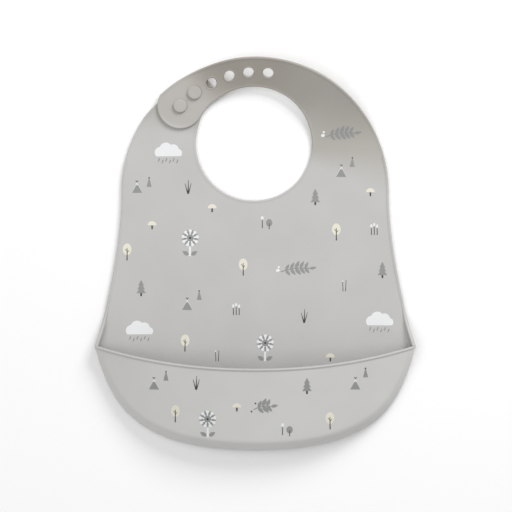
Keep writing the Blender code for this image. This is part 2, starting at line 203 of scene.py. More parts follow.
# ------------------------------------------------------------------------------------------------
# The moulding's outline: a round arch at the top, long edges that flare to the pocket's corners,
# and a deep rounded bottom. The neck opening is a circle near the top of the arch.
# ------------------------------------------------------------------------------------------------
BOX_LOW, BOX_HIGH = CAD_BOX
TOP_Y = BOX_HIGH[1]
BOTTOM_Y = BOX_LOW[1]
CAD_RIB_HEIGHT = 0.00085
SHEET = round(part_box("upper_panel")[1].z - CAD_RIB_HEIGHT, 4)
ARCH_RADIUS = 0.102
CORNER = Vector((0.1223, BOTTOM_Y + 0.080))
NECK_RADIUS = 0.044
NECK_DROP = 0.0016
NECK_WIDER = 0.0016
NECK_NARROWER = 0.0006
STRAP_WIDTH = 0.0227
ARCH_Y = TOP_Y - ARCH_RADIUS
NECK = Vector((0, TOP_Y - STRAP_WIDTH - NECK_RADIUS))
NECK_ABOVE_ARCH = NECK.y - ARCH_Y
JOINT = {joint["name"]: joint for joint in frame["joints"]}
LOWER_FOLD_Y = JOINT["fold_lower"]["pos_m"][1]
UPPER_FOLD_Y = JOINT["fold_upper"]["pos_m"][1]
FOLD_JOIN_Y = (LOWER_FOLD_Y + UPPER_FOLD_Y) / 2
EDGE_COVER = 0.0012


def mix(a, b, share):
    return a + (b - a) * share


def ease(value):
    value = min(max(value, 0.0), 1.0)
    return value * value * (3 - 2 * value)


def steps(start, end, count):
    return [mix(start, end, i / count) for i in range(count + 1)]


def bezier(points, t):
    a, b, c, d = points
    return (1 - t) ** 3 * a + 3 * (1 - t) ** 2 * t * b + 3 * (1 - t) * t * t * c + t ** 3 * d


def side_edge(t):
    """The right-hand edge, from the foot of the arch (t = 0) to the pocket corner (t = 1)."""
    start = Vector((ARCH_RADIUS, ARCH_Y))
    flare = CORNER + Vector((-0.0093, 0.030))
    return bezier((start, start - Vector((0, 0.040)), flare, CORNER), t)


def side_t(y):
    """Where along side_edge the edge is at height y."""
    low, high = 0.0, 1.0
    for _ in range(40):
        middle = (low + high) / 2
        if side_edge(middle).y > y:
            low = middle
        else:
            high = middle
    return low


def pocket_edge(t):
    """The right-hand pocket outline, from the corner (t = 0) to the bottom middle (t = 1)."""
    turn = CORNER - Vector((0.0103, 0.038))
    bottom = Vector((CORNER.x - 0.0223, BOTTOM_Y))
    return bezier((CORNER, turn, bottom, Vector((0, BOTTOM_Y))), t)


def neck_point(angle, radius):
    return NECK + radius * Vector((cos(angle), sin(angle)))


def arch_radius(angle):
    """Distance from the neck centre to the arch's outer edge."""
    inside = ARCH_RADIUS ** 2 - (NECK_ABOVE_ARCH * cos(angle)) ** 2
    return -NECK_ABOVE_ARCH * sin(angle) + sqrt(inside)


def arch_edge(angle):
    return neck_point(angle, arch_radius(angle))


def neck_shift(angle):
    """How far the opening's edge lies outside its nominal circle: more to the left, less below."""
    side = NECK_WIDER if cos(angle) < 0 else NECK_NARROWER
    return NECK_DROP * min(sin(angle), 0) - side * cos(angle)


def neck_edge(angle):
    return neck_point(angle, NECK_RADIUS + neck_shift(angle))


# ------------------------------------------------------------------------------------------------
# How the moulding is built up: smooth skins of the silicone's thickness, and a rounded rim that
# runs along every free edge. Skins stop under the rims, and both end on the same cut lines.
# ------------------------------------------------------------------------------------------------
RIM = [
    (3.1, -0.15), (2.8, -0.02), (2.4, 0.05), (2.05, 0.16), (1.75, 0.33), (1.45, 0.52), (1.1, 0.66),
    (0.75, 0.67), (0.42, 0.54), (0.17, 0.28), (0.03, -0.08), (0.0, -0.5), (0.0, -1.1), (0.1, -1.6),
    (0.38, -1.90), (0.8, -2.0), (1.4, -2.0), (1.7, -1.8), (3.1, -1.4),
]
SOFT_RIM = [
    (3.1, -0.15), (2.6, -0.02), (2.1, 0.04), (1.7, 0.13), (1.3, 0.24), (0.9, 0.28), (0.55, 0.20),
    (0.24, -0.02), (0.05, -0.34), (0.0, -0.7), (0.0, -1.2), (0.1, -1.6),
    (0.38, -1.90), (0.8, -2.0), (1.4, -2.0), (1.7, -1.8), (3.1, -1.4),
]
LIP_BEAD = [
    (3.0, -0.12), (2.5, -0.01), (2.1, 0.04), (1.75, 0.16), (1.45, 0.36), (1.15, 0.50), (0.85, 0.54),
    (0.55, 0.47), (0.28, 0.28), (0.08, -0.02), (0.0, -0.4), (0.0, -1.2), (0.1, -1.6),
    (0.38, -1.90), (0.8, -2.0), (1.4, -2.0), (1.7, -1.8), (3.0, -1.4),
]
SMOOTH_ANGLE = radians(38)
# Angles round the neck between which the painted shade fades in and out.
PAINTED_SHADE_FROM = -23
PAINTED_SHADE_TO = 160


def painted_shade_share(at):
    """Share of painted shade at a point: 0 where the resting sheet lies on the table, more where it
    stands clear.
    """
    angle = degrees(atan2(at.y - NECK.y, at.x))
    if angle < -90:
        angle += 360
    if angle <= PAINTED_SHADE_FROM:
        return 0
    if angle < 100:
        return mix(0.72 * ease((angle - PAINTED_SHADE_FROM) / 24), 1.0, ease((angle - 30) / 60))
    return mix(1.0, 0.52, ease((angle - 120) / 26)) * (1 - ease((angle - PAINTED_SHADE_TO) / 14))


def closed_mesh(name, points, faces, material):
    """A closed smooth body from points and faces, its normals outward."""
    mesh = bpy.data.meshes.new(name)
    mesh.from_pydata([tuple(p) for p in points], [], faces)
    edit = bmesh.new()
    edit.from_mesh(mesh)
    bmesh.ops.remove_doubles(edit, verts=edit.verts, dist=0.000002)
    bmesh.ops.dissolve_degenerate(edit, edges=edit.edges, dist=0.000001)
    bmesh.ops.recalc_face_normals(edit, faces=edit.faces)
    edit.to_mesh(mesh)
    edit.free()
    mesh.shade_smooth()
    mesh.set_sharp_from_angle(angle=SMOOTH_ANGLE)
    # The clear attribute carries each point's share of painted shade.
    clear = mesh.attributes.new("clear", "FLOAT", "POINT")
    clear.data.foreach_set("value", [painted_shade_share(vertex.co) for vertex in mesh.vertices])
    item = bpy.data.objects.new(name, mesh)
    bpy.context.scene.collection.objects.link(item)
    mesh.materials.append(material)
    return item


def grid_normals(grid):
    """The normal at each point of a grid, turned so that most of them look up."""
    rows = []
    total = 0.0
    last, side = len(grid) - 1, len(grid[0]) - 1
    for i, row in enumerate(grid):
        normals = []
        for j, _ in enumerate(row):
            along = grid[min(i + 1, last)][j] - grid[max(i - 1, 0)][j]
            across = row[min(j + 1, side)] - row[max(j - 1, 0)]
            if min(along.length, across.length) > 0.000002:
                normal = along.cross(across).normalized()
                total += normal.z
            elif normals:
                normal = normals[-1]
            elif rows:
                normal = rows[-1][j]
            else:
                normal = Vector((0, 0, 1))
            normals.append(normal)
        rows.append(normals)
    sign = 1 if total > 0 else -1
    return [[sign * n for n in row] for row in rows]


def skin(name, grid, material=BODY_SILICONE, depths=None):
    """A sheet whose face runs through the grid of points, with its depth below it for each row."""
    width = len(grid[0])
    count = len(grid) * width
    normals = grid_normals(grid)
    points = [p for row in grid for p in row]
    depths = depths or [SHEET] * len(grid)
    under = [p - n * d for row, ns, d in zip(grid, normals, depths) for p, n in zip(row, ns)]
    faces = []
    for i in range(len(grid) - 1):
        for j in range(width - 1):
            a = i * width + j
            faces.append((a, a + 1, a + width + 1, a + width))
            faces.append((count + a, count + a + width, count + a + width + 1, count + a + 1))
    border = list(range(width))
    border += [i * width + width - 1 for i in range(1, len(grid))]
    border += [(len(grid) - 1) * width + j for j in range(width - 2, -1, -1)]
    border += [i * width for i in range(len(grid) - 2, 0, -1)]
    for a, b in zip(border, border[1:] + border[:1]):
        faces.append((a, b, count + b, count + a))
    return closed_mesh(name, points + under, faces, material)


def rim(name, path, profile, material=BODY_SILICONE):
    """A rim swept along path: (edge point, direction into the sheet, face normal) at each step."""
    points = []
    for at, inward, up in path:
        for s, d in profile:
            points.append(at + inward * (s / 1000) + up * (d / 1000))
    size = len(profile)
    faces = []
    for i in range(len(path) - 1):
        for j in range(size):
            a = i * size + j
            b = i * size + (j + 1) % size
            faces.append((a, b, b + size, a + size))
    faces.append(tuple(range(size)))
    last = (len(path) - 1) * size
    faces.append(tuple(reversed(range(last, last + size))))
    return closed_mesh(name, points, faces, material)


def flat_path(edge, values, inside):
    """Rim steps along a flat edge: edge(value) is its point and inside a point of the sheet."""
    path = []
    nudge = (values[-1] - values[0]) * 0.0005
    for value in values:
        at = edge(value)
        along = (edge(value + nudge) - edge(value - nudge)).normalized()
        inward = Vector((along.y, -along.x))
        if inward.dot(inside(value) - at) < 0:
            inward = -inward
        path.append((at.to_3d() + Vector((0, 0, SHEET)), inward.to_3d(), Vector((0, 0, 1))))
    return path


def flip_x(path):
    """The same rim steps on the other side of the bib."""
    return [tuple(Vector((-v.x, v.y, v.z)) for v in step) for step in path]


def bend_lower(piece):
    """Bakes a piece's placement at the lower fold, between the back behind the pocket and the panel's
    middle.
    """
    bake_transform(piece)


def bend_upper(piece):
    """Bakes a piece's placement at the upper fold, between the middle of the panel and the chest."""
    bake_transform(piece)


# ------------------------------------------------------------------------------------------------
# The lower panel: the flat back behind the pocket and the lower half of the panel above it. Near
# the pocket's corners its edges turn up into short flanges that run into the pocket's side walls.
# ------------------------------------------------------------------------------------------------
FLANGE_FROM_Y = LOWER_FOLD_Y + 0.016
FLANGE_SLOPE = radians(76)
FLANGE_LENGTH = 0.0074
FLANGE_FILLET = 0.0015
FLANGE_SPAN = 0.014
CORNER_LEAN = 0.0052
FLANGE_SHARE = 0.3


def flange_size(y):
    """The turned-up edge's slope and straight length at height y."""
    share = ease((FLANGE_FROM_Y - y) / (FLANGE_FROM_Y - CORNER.y))
    return FLANGE_SLOPE * sqrt(share), FLANGE_LENGTH * share


def flange_face(y, distance):
    """Inset, height and slope of the face at a distance from its edge, measured over the face."""
    slope, length = flange_size(y)
    arc = FLANGE_FILLET * slope
    turn = min(max(length + arc - distance, 0), arc) / FLANGE_FILLET
    straight = max(length - distance, 0)
    foot = SHEET * sin(slope) + FLANGE_FILLET * sin(slope) + length * cos(slope)
    inset = foot - FLANGE_FILLET * sin(turn) - straight * cos(slope)
    inset += max(distance - length - arc, 0)
    height = SHEET + FLANGE_FILLET * (1 - cos(turn)) + straight * sin(slope)
    return inset, height, turn


def edge_frame(t):
    """The side edge's point, and the direction across it into the sheet."""
    along = (side_edge(t + 0.001) - side_edge(t - 0.001)).normalized()
    return side_edge(t), Vector((along.y, -along.x))


def flange_rim_step(t):
    at, inward = edge_frame(t)
    inset, height, slope = flange_face(at.y, 0)
    point = (at + inward * inset).to_3d() + Vector((0, 0, height))
    into = (inward * cos(slope)).to_3d() - Vector((0, 0, sin(slope)))
    up = (inward * sin(slope)).to_3d() + Vector((0, 0, cos(slope)))
    return point, into, up


def lower_panel_row(t):
    """Points across the panel at one height, from the middle out to the right-hand edge."""
    at, inward = edge_frame(t)
    stretch = 1 / abs(inward.x)
    row = []
    for distance in steps(FLANGE_SPAN, EDGE_COVER, 18):
        inset, height, _ = flange_face(at.y, distance)
        row.append(Vector((at.x - inset * stretch, at.y, height)))
    flat = [Vector((mix(0, row[0].x, i / 48), at.y, SHEET)) for i in range(48)]
    return flat + row


def mirrored(row):
    return [Vector((-p.x, p.y, p.z)) for p in row]


def both_sides(row):
    """A row from the middle to the right, with its mirror image before it."""
    return mirrored(reversed(row)) + row[1:]


TUCK_RUN = 0.0045
TUCK_DEPTH = 0.0015
TUCK_INSET = 0.0003
TUCK_SINK = 0.0001
TUCK_LEAN = 0.32
TUCK_FALL = 0.2


def tuck_row(down):
    """The flange's end, run on a little way below the corner inside the pocket's wall."""
    at, inward = edge_frame(1)
    shift = TUCK_LEAN * max(down, 0) - TUCK_INSET
    row = []
    for distance in steps(FLANGE_LENGTH + TUCK_RUN, EDGE_COVER, 20):
        inset, height, _ = flange_face(at.y, distance)
        height -= TUCK_SINK
        height -= TUCK_FALL * down * (height - SHEET) / FLANGE_LENGTH
        row.append(Vector((at.x - inset / abs(inward.x) - shift, at.y - down, height)))
    return row


lower_ts = steps(side_t(FOLD_JOIN_Y), 1, 44)
lower_panel = skin("lower_panel_skin", [both_sides(lower_panel_row(t)) for t in lower_ts])
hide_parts("side_flange_right", "side_flange_left", "mid_panel")
tuck_rows = [tuck_row(down / 1000) for down in (-0.8, 0.5, 2, 4, 6, 8)]
tuck_depths = [TUCK_DEPTH] * len(tuck_rows)
tucks = [
    skin("flange_tuck_right", tuck_rows, depths=tuck_depths),
    skin("flange_tuck_left", [mirrored(row) for row in tuck_rows], depths=tuck_depths),
]

BACK_GAP = 0.0004
back_grid = []
for t in steps(0, 1, 48):
    edge = pocket_edge(t)
    lean = CORNER_LEAN * (1 - ease(t / FLANGE_SHARE)) + BACK_GAP
    half = max(edge.x - lean, 0)
    y = edge.y + 0.0008 * ease(t / 0.5) if t else edge.y
    back_grid.append([Vector((half * u, y, SHEET)) for u in steps(-1, 1, 48)])
back_panel = skin("back_panel_skin", back_grid)
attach(back_panel, "base")
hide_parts("lower_panel")

rim_ts = steps(side_t(FOLD_JOIN_Y), 1, 60)
right_path = [flange_rim_step(t) for t in rim_ts]
lower_rims = [
    rim("lower_rim_right", right_path, RIM),
    rim("lower_rim_left", flip_x(right_path), RIM),
]
for piece in (lower_panel, *tucks, *lower_rims):
    bend_lower(piece)

# ------------------------------------------------------------------------------------------------
# The chest: the upper half of the panel up to both shoulders, around the lower neckline. It is
# flat, with a rim along its long edges and another around the neck opening.
# ------------------------------------------------------------------------------------------------
STRAP_CUT = radians(-5)
ARM_CUT = radians(186)
ARCH_FOOT = atan2(-NECK_ABOVE_ARCH, ARCH_RADIUS)


def inset_edge(path):
    """The sheet's own edge, a little inside the rim that covers it."""
    return [(at + inward * EDGE_COVER).to_2d() for at, inward, _ in path]


def neck_centre(_):
    return NECK


chest_side = flat_path(side_edge, steps(0, side_t(FOLD_JOIN_Y), 58), neck_centre)
shoulder_right = flat_path(arch_edge, steps(STRAP_CUT, ARCH_FOOT, 12), neck_centre)
shoulder_left = flat_path(arch_edge, steps(pi - ARCH_FOOT, ARM_CUT, 12), neck_centre)
right_edge = inset_edge(shoulder_right) + inset_edge(chest_side)[1:]
left_edge = list(reversed(inset_edge(flip_x(chest_side)))) + inset_edge(shoulder_left)[1:]
right_edge[0] = neck_point(STRAP_CUT, arch_radius(STRAP_CUT) - EDGE_COVER)
left_edge[-1] = neck_point(ARM_CUT, arch_radius(ARM_CUT) - EDGE_COVER)
right_edge[-1] = Vector((right_edge[-1].x, FOLD_JOIN_Y))
left_edge[0] = Vector((left_edge[0].x, FOLD_JOIN_Y))
join = [right_edge[-1].lerp(left_edge[0], i / 96) for i in range(1, 96)]
chest_columns = []
for at in right_edge + join + left_edge:
    away = (at - NECK).normalized()
    start = NECK + away * (NECK_RADIUS + neck_shift(atan2(away.y, away.x)) + EDGE_COVER)
    column = [start.lerp(at, u).to_3d() for u in steps(0, 1, 56)]
    chest_columns.append([point + Vector((0, 0, SHEET)) for point in column])
chest = skin("chest_skin", chest_columns)
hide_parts("upper_panel")

neck_angles = steps(STRAP_CUT, ARM_CUT - 2 * pi, 150)
neck_path = flat_path(neck_edge, neck_angles, lambda a: neck_point(a, ARCH_RADIUS))
chest_right = shoulder_right + chest_side[1:]
chest_left = list(reversed(flip_x(chest_side))) + shoulder_left[1:]
chest_rims = [
    rim("chest_rim_right", chest_right, RIM),
    rim("chest_rim_left", chest_left, RIM),
    rim("neckline_rim", neck_path, SOFT_RIM),
]
for piece in (chest, *chest_rims):
    bend_upper(piece)

# ------------------------------------------------------------------------------------------------
# The neck strap: one band from the right shoulder round the back of the neck to its free end. It
# stands up at the crown, where the closed strap tilts, and lies flat over the stud arm.
# ------------------------------------------------------------------------------------------------
STRAP_ROOT = radians(0)
STRAP_BENDS = [radians(a) for a in (14, 38, 62, 88, 118)]
STRAP_CUTS = [STRAP_CUT] + [radians(a) for a in (26, 50, 75, 103)]
STRAP_END = radians(152.6)
END_BULGE = 0.0013
END_INSET = 0.0031
END_TAPER = radians(32.6)
CROWN_LIFT = 0.004
CROWN_TILT = radians(31)
CROWN_FROM = radians(52)
CROWN_TO = radians(97)
FLAT_FROM = radians(137)
LAP_GAP = 0.0003
LAP_HEIGHT = 2 * SHEET + LAP_GAP
STRAP_REACH = radians(9)
HOLE_PITCH = 0.0149
HOLE_COUNT = 6
HOLE_RADIUS = 0.0040
EYELET_WIDTH = 0.0006
EYELET = [
    (1.3, -0.3), (1.15, 0.02), (0.95, 0.16), (0.65, 0.22), (0.35, 0.14), (0.12, -0.08), (0, -0.4),
    (0, -1.6), (0.12, -1.9), (0.35, -2.02), (0.7, -2.02), (1.3, -1.7),
]


def end_taper(angle):
    return ease(1 - (STRAP_END - angle) / END_TAPER)


def strap_foot(angle):
    """The radius about which the strap tilts."""
    return NECK_RADIUS + END_INSET * end_taper(angle)


def strap_inner(angle):
    return strap_foot(angle) + neck_shift(angle) * (1 - end_taper(angle))


def crown(angle):
    """0 where the strap lies flat, 1 where it stands up over the back of the neck."""
    rise = ease((angle - STRAP_ROOT) / (CROWN_FROM - STRAP_ROOT))
    fall = ease((FLAT_FROM - angle) / (FLAT_FROM - CROWN_TO))
    return min(rise, fall)


def strap_tilt(angle):
    return CROWN_TILT * crown(angle)


def strap_outer(angle):
    return arch_radius(angle) + END_BULGE * end_taper(angle) - SHEET * sin(strap_tilt(angle))


def strap_middle(angle):
    return (strap_foot(angle) + strap_outer(angle)) / 2


def strap_top(angle, radius):
    """Height of the strap's face."""
    rise = ease((angle - STRAP_ROOT) / (CROWN_FROM - STRAP_ROOT))
    base = mix(CROWN_LIFT * rise, LAP_HEIGHT - SHEET, ease((angle - CROWN_TO) / (FLAT_FROM - CROWN_TO)))
    return SHEET + base + tan(strap_tilt(angle)) * (radius - strap_foot(angle))


def strap_face(angle, radius):
    at = neck_point(angle, radius)
    return Vector((at.x, at.y, strap_top(angle, radius)))


def strap_frame(angle):
    """The face's direction outward across the strap, and its normal."""
    tilt = strap_tilt(angle)
    out = Vector((cos(angle), sin(angle), 0))
    across = out * cos(tilt) + Vector((0, 0, sin(tilt)))
    return across, Vector((0, 0, cos(tilt))) - out * sin(tilt)


def strap_rim(angles, radius_at, sign):
    """A rim along the strap's inner (sign 1) or outer (sign -1) edge."""
    path = []
    nudge = radians(0.05)
    for angle in angles:
        before = strap_face(angle - nudge, radius_at(angle - nudge))
        after = strap_face(angle + nudge, radius_at(angle + nudge))
        along = (after - before).normalized()
        up = strap_frame(angle)[0].cross(along).normalized()
        inward = along.cross(up) * -sign
        if inward.dot(strap_frame(angle)[0]) * sign < 0:
            inward = -inward
        path.append((strap_face(angle, radius_at(angle)), inward, up))
    return path


def hole_angles():
    """The closure's holes, one pitch apart along the strap, from its free end."""
    angles = [STRAP_END]
    while len(angles) < HOLE_COUNT:
        angles.append(angles[-1] - HOLE_PITCH / strap_middle(angles[-1]))
    return angles


def round_end_rows(angle, middle, half, height, sign=1):
    """Rows across a round end about a point of the strap, from its middle to its tip."""
    out = Vector((cos(angle), sin(angle), 0))
    ahead = Vector((-out.y, out.x, 0)) * sign
    centre = neck_point(angle, middle).to_3d() + Vector((0, 0, height))
    rows = []
    for turn in steps(0, pi / 2, 24)[1:]:
        start = centre + ahead * half * sin(turn)
        rows.append([start + out * half * cos(turn) * u for u in steps(-1, 1, 16)])
    return rows


def strap_row(angle, inner, outer, count=16):
    return [strap_face(angle, radius) for radius in steps(inner, outer, count)]


def cap_rim_path():
    """The rim around the strap's round end, from the outer edge to the inner one."""
    centre = neck_point(STRAP_END, strap_middle(STRAP_END))
    radius = (strap_outer(STRAP_END) - strap_inner(STRAP_END)) / 2
    path = []
    for turn in steps(0, pi, 40)[1:-1]:
        out = Vector((cos(STRAP_END + turn), sin(STRAP_END + turn)))
        at = centre + out * radius
        path.append((Vector((at.x, at.y, LAP_HEIGHT)), -out.to_3d(), Vector((0, 0, 1))))
    return path


def cut_hole(item, angle):
    """Cut a closure hole through the skin, a little wider than the eyelet that lines it."""
    _, up = strap_frame(angle)
    bpy.ops.mesh.primitive_cylinder_add(
        vertices=48, radius=HOLE_RADIUS + EYELET_WIDTH / 2, depth=6 * SHEET
    )
    pin = bpy.context.object
    turn = up.to_track_quat("Z", "Y").to_matrix().to_4x4()
    at = strap_face(angle, strap_middle(angle))
    pin.data.transform(Matrix.Translation(at) @ turn)
    cut = item.modifiers.new("hole", "BOOLEAN")
    cut.operation = "DIFFERENCE"
    cut.object = pin
    cut.solver = "EXACT"
    bake_modifiers(item)
    bpy.data.objects.remove(pin, do_unlink=True)


def bake_modifiers(item):
    """Turn the evaluated object into its own plain mesh."""
    depsgraph = bpy.context.evaluated_depsgraph_get()
    mesh = bpy.data.meshes.new_from_object(item.evaluated_get(depsgraph))
    item.modifiers.clear()
    item.data = mesh
    mesh.shade_smooth()
    mesh.set_sharp_from_angle(angle=SMOOTH_ANGLE)


def point_at(angle):
    return tuple(strap_face(angle, strap_middle(angle)))


def eyelet(name, angle):
    """The rounded lip that lines a closure hole."""
    across, up = strap_frame(angle)
    along = up.cross(across)
    centre = strap_face(angle, strap_middle(angle))
    points = []
    turns = 48
    for i in range(turns):
        way = across * cos(2 * pi * i / turns) + along * sin(2 * pi * i / turns)
        for s, d in EYELET:
            at = centre + way * (HOLE_RADIUS + s / 1000)
            there = hypot(at.x, at.y - NECK.y)
            at.z = strap_top(atan2(at.y - NECK.y, at.x), there)
            points.append(at + up * (d / 1000))
    size = len(EYELET)
    faces = []
    for i in range(turns):
        for j in range(size):
            here, after, up_one = i * size, (i + 1) % turns * size, (j + 1) % size
            faces.append((here + j, here + up_one, after + up_one, after + j))
    return closed_mesh(name, points, faces, BODY_SILICONE)


def bend_strap(piece, bend):
    start, end = point_at(bend - STRAP_REACH), point_at(bend + STRAP_REACH)
    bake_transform(piece)


strap_stops = STRAP_CUTS + [STRAP_END]
for number in range(1, 6):
    start, end = strap_stops[number - 1], strap_stops[number]
    count = round((end - start) / radians(0.8))
    angles = steps(start, end, count)
    edges = [(strap_inner(a) + EDGE_COVER, strap_outer(a) - EDGE_COVER) for a in angles]
    rows = [strap_row(a, low, high) for a, (low, high) in zip(angles, edges)]
    inner = strap_rim(angles, strap_inner, 1)
    outer = strap_rim(angles, strap_outer, -1)
    name = "strap_%d" % number
    if number == 5:
        half = (strap_outer(STRAP_END) - strap_inner(STRAP_END)) / 2 - EDGE_COVER
        rows += round_end_rows(STRAP_END, strap_middle(STRAP_END), half, LAP_HEIGHT)
        around = outer + cap_rim_path() + list(reversed(inner))
        pieces = [rim(name + "_rim", around, SOFT_RIM)]
    else:
        pieces = [
            rim(name + "_rim_inner", inner, SOFT_RIM),
            rim(name + "_rim_outer", outer, SOFT_RIM),
        ]
    body = skin(name + "_skin", rows)
    if number == 1:
        shoulder_skin = body
    for index, angle in enumerate(hole_angles(), 1):
        if start < angle <= end:
            cut_hole(body, angle)
            pieces.append(eyelet("strap_hole_%d_lip" % index, angle))
    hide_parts(name)
    for piece in (body, *pieces):
        bend_strap(piece, STRAP_BENDS[number - 1])

# ------------------------------------------------------------------------------------------------
# The stud arm: the left shoulder runs on as a flat tab that narrows to a round end under the
# strap's free end.
# ------------------------------------------------------------------------------------------------
ARM_ROOT = radians(172)
ARM_END_RADIUS = 0.014
ARM_BEND_RADIUS = 0.062
STUD_ANGLES = hole_angles()[:2]


def arm_edge(angle, sign):
    """Radius of the tab's inner (sign -1) or outer (sign 1) edge."""
    narrow = ease((ARM_ROOT - angle) / (ARM_ROOT - STUD_ANGLES[1]))
    if sign > 0:
        wide, narrow = arch_radius(angle), narrow * narrow
    else:
        wide = NECK_RADIUS + neck_shift(angle)
    return mix(wide, strap_middle(STUD_ANGLES[1]) + sign * ARM_END_RADIUS, narrow)


def inner_arm(angle):
    return neck_point(angle, arm_edge(angle, -1))


def outer_arm(angle):
    return neck_point(angle, arm_edge(angle, 1))


def arm_end_path():
    """The rim round the tab's end, from the outer edge to the inner one."""
    centre = neck_point(STUD_ANGLES[1], strap_middle(STUD_ANGLES[1]))
    path = []
    for turn in steps(0, pi, 36)[1:-1]:
        way = STUD_ANGLES[1] - turn
        out = Vector((cos(way), sin(way), 0))
        at = centre.to_3d() + out * ARM_END_RADIUS
        path.append((at + Vector((0, 0, SHEET)), -out, Vector((0, 0, 1))))
    return path


def arm_middle(angle):
    return neck_point(angle, (arm_edge(angle, -1) + arm_edge(angle, 1)) / 2)


arm_angles = steps(ARM_CUT, STUD_ANGLES[1], 52)
arm_rows = []
for angle in arm_angles:
    inner, outer = arm_edge(angle, -1) + EDGE_COVER, arm_edge(angle, 1) - EDGE_COVER
    row = [neck_point(angle, radius).to_3d() for radius in steps(inner, outer, 16)]
    arm_rows.append([point + Vector((0, 0, SHEET)) for point in row])
arm_half = ARM_END_RADIUS - EDGE_COVER
arm_rows += round_end_rows(STUD_ANGLES[1], strap_middle(STUD_ANGLES[1]), arm_half, SHEET, -1)
arm = skin("stud_arm_skin", arm_rows)
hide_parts("stud_tab")
arm_outer = flat_path(outer_arm, arm_angles, arm_middle)
arm_inner = flat_path(inner_arm, list(reversed(arm_angles)), arm_middle)
arm_rim = rim("stud_arm_rim", arm_outer + arm_end_path() + arm_inner, SOFT_RIM)
for piece in (arm, arm_rim):
    root = neck_point(ARM_ROOT, ARM_BEND_RADIUS)
    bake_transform(piece)

# ------------------------------------------------------------------------------------------------
# The two studs: flat round buttons moulded on the tab. Each head is a little wider than the hole
# it is pressed through and holds the strap by its overhang.
# ------------------------------------------------------------------------------------------------
STUD = [
    (0.0, 6.38), (2.4, 6.40), (3.9, 6.40), (4.5, 6.34), (4.92, 6.18), (5.18, 5.9), (5.25, 5.55),
    (5.22, 5.2), (5.05, 4.85), (4.75, 4.66), (4.3, 4.6), (3.7, 4.58), (3.42, 4.45), (3.3, 4.1),
    (3.3, 2.6), (3.45, 2.15), (3.9, 1.95), (3.9, 1.2), (0.0, 1.2),
]
for number, angle in enumerate(STUD_ANGLES, 1):
    centre = neck_point(angle, strap_middle(angle)).to_3d()
    turns = 64
    points = []
    for i in range(turns):
        way = Vector((cos(2 * pi * i / turns), sin(2 * pi * i / turns), 0))
        points += [centre + way * (r / 1000) + Vector((0, 0, z / 1000)) for r, z in STUD]
    size = len(STUD)
    faces = []
    for i in range(turns):
        after = (i + 1) % turns * size
        for here in range(i * size, i * size + size - 1):
            beside = after + here - i * size
            faces.append((here, here + 1, beside + 1, beside))
    stud = closed_mesh("stud_%d_button" % number, points, faces, BODY_SILICONE)
    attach(stud, "stud_arm")
    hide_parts("stud_%d" % number)

# ------------------------------------------------------------------------------------------------
# The catch-all pocket: one skin from the outline up over a rounded edge and on to the lip, which
# stands highest at the middle. It meets the turned-up flanges at the two corners.
# ------------------------------------------------------------------------------------------------
LIP_SAG = 0.0166
LIP_HEIGHT = 0.0348
LIP_LOW_Y = CORNER.y - LIP_SAG
LIP_FAN = 0.18
FOOT_HEIGHT = 0.0195
POCKET_FILLET = 0.008
# A lighter copy of the body's silicone for the pocket: painted light that evens out the shade on its
# sloping front.
POCKET_SILICONE = silicone("pocket_silicone", (0.552, 0.548, 0.534))
CORNER_BALL = 0.0015
CORNER_BALL_AT = Vector((-0.0014, 0.0002, -0.0012))
CORNER_HEIGHT = 0.0102
CREST_DEPTH = 0.0003
FOOT_RISE = 0.0003


def front_height(at):
    """Height of the pocket's front face."""
    slope = (LIP_HEIGHT - FOOT_HEIGHT) / (LIP_LOW_Y - BOTTOM_Y)
    drop = FOOT_HEIGHT + slope * (CORNER.y - BOTTOM_Y) - CORNER_HEIGHT
    return FOOT_HEIGHT + slope * (at.y - BOTTOM_Y) - drop * (abs(at.x) / CORNER.x) ** 2.5


def lip_y(x):
    return LIP_LOW_Y + LIP_SAG * (abs(x) / CORNER.x) ** 2.1


def lip_point(t):
    x = pocket_edge(t).x * (1 - LIP_FAN * sin(t * pi / 2))
    return Vector((x, lip_y(x)))


def flange_side(z):
    """Inset of the flange's outer side at a height: a rounded foot under a leaning wall."""
    radius = FLANGE_FILLET + SHEET
    rise = radius * (1 - cos(FLANGE_SLOPE))
    turn = acos(max(1 - z / radius, cos(FLANGE_SLOPE)))
    foot = radius * sin(FLANGE_SLOPE) + FLANGE_LENGTH * cos(FLANGE_SLOPE)
    return max(foot - radius * sin(turn) - max(z - rise, 0) / tan(FLANGE_SLOPE), 0)


def pocket_section(t):
    """The skin's face from the table up over the rounded edge to the lip."""
    foot = pocket_edge(t)
    run = lip_point(t) - foot
    inward = run.normalized()
    fillet = min(POCKET_FILLET, 0.6 * run.length)
    lean = 1 - ease(t / FLANGE_SHARE)
    along = (pocket_edge(t + 0.001) - pocket_edge(t - 0.001)).normalized()
    across = Vector((along.y, -along.x))
    if across.dot(-foot) < 0:
        across = -across
    widest = mix(CORNER_HEIGHT, SHEET + FOOT_RISE, ease(t / FLANGE_SHARE))
    row = []
    for share in steps(0, 1, 12)[:-1]:
        at = foot + across * lean * flange_side(CORNER_HEIGHT * share)
        row.append(Vector((at.x, at.y, widest * share)))
    for turn in steps(0, pi / 2, 12):
        at = foot + inward * fillet * (1 - cos(turn))
        row.append(Vector((at.x, at.y, mix(widest, front_height(at), sin(turn)))))
    reach = max(run.length - EDGE_COVER, fillet)
    for share in steps(0, 1, 30)[1:]:
        at = foot + inward * mix(fillet, reach, share)
        row.append(Vector((at.x, at.y, front_height(at))))
    return row


def lifted(at):
    return Vector((at.x, at.y, front_height(at)))


def face_normal(at):
    step = 0.0005
    east = lifted(at + Vector((step, 0))) - lifted(at - Vector((step, 0)))
    north = lifted(at + Vector((0, step))) - lifted(at - Vector((0, step)))
    return east.cross(north).normalized()


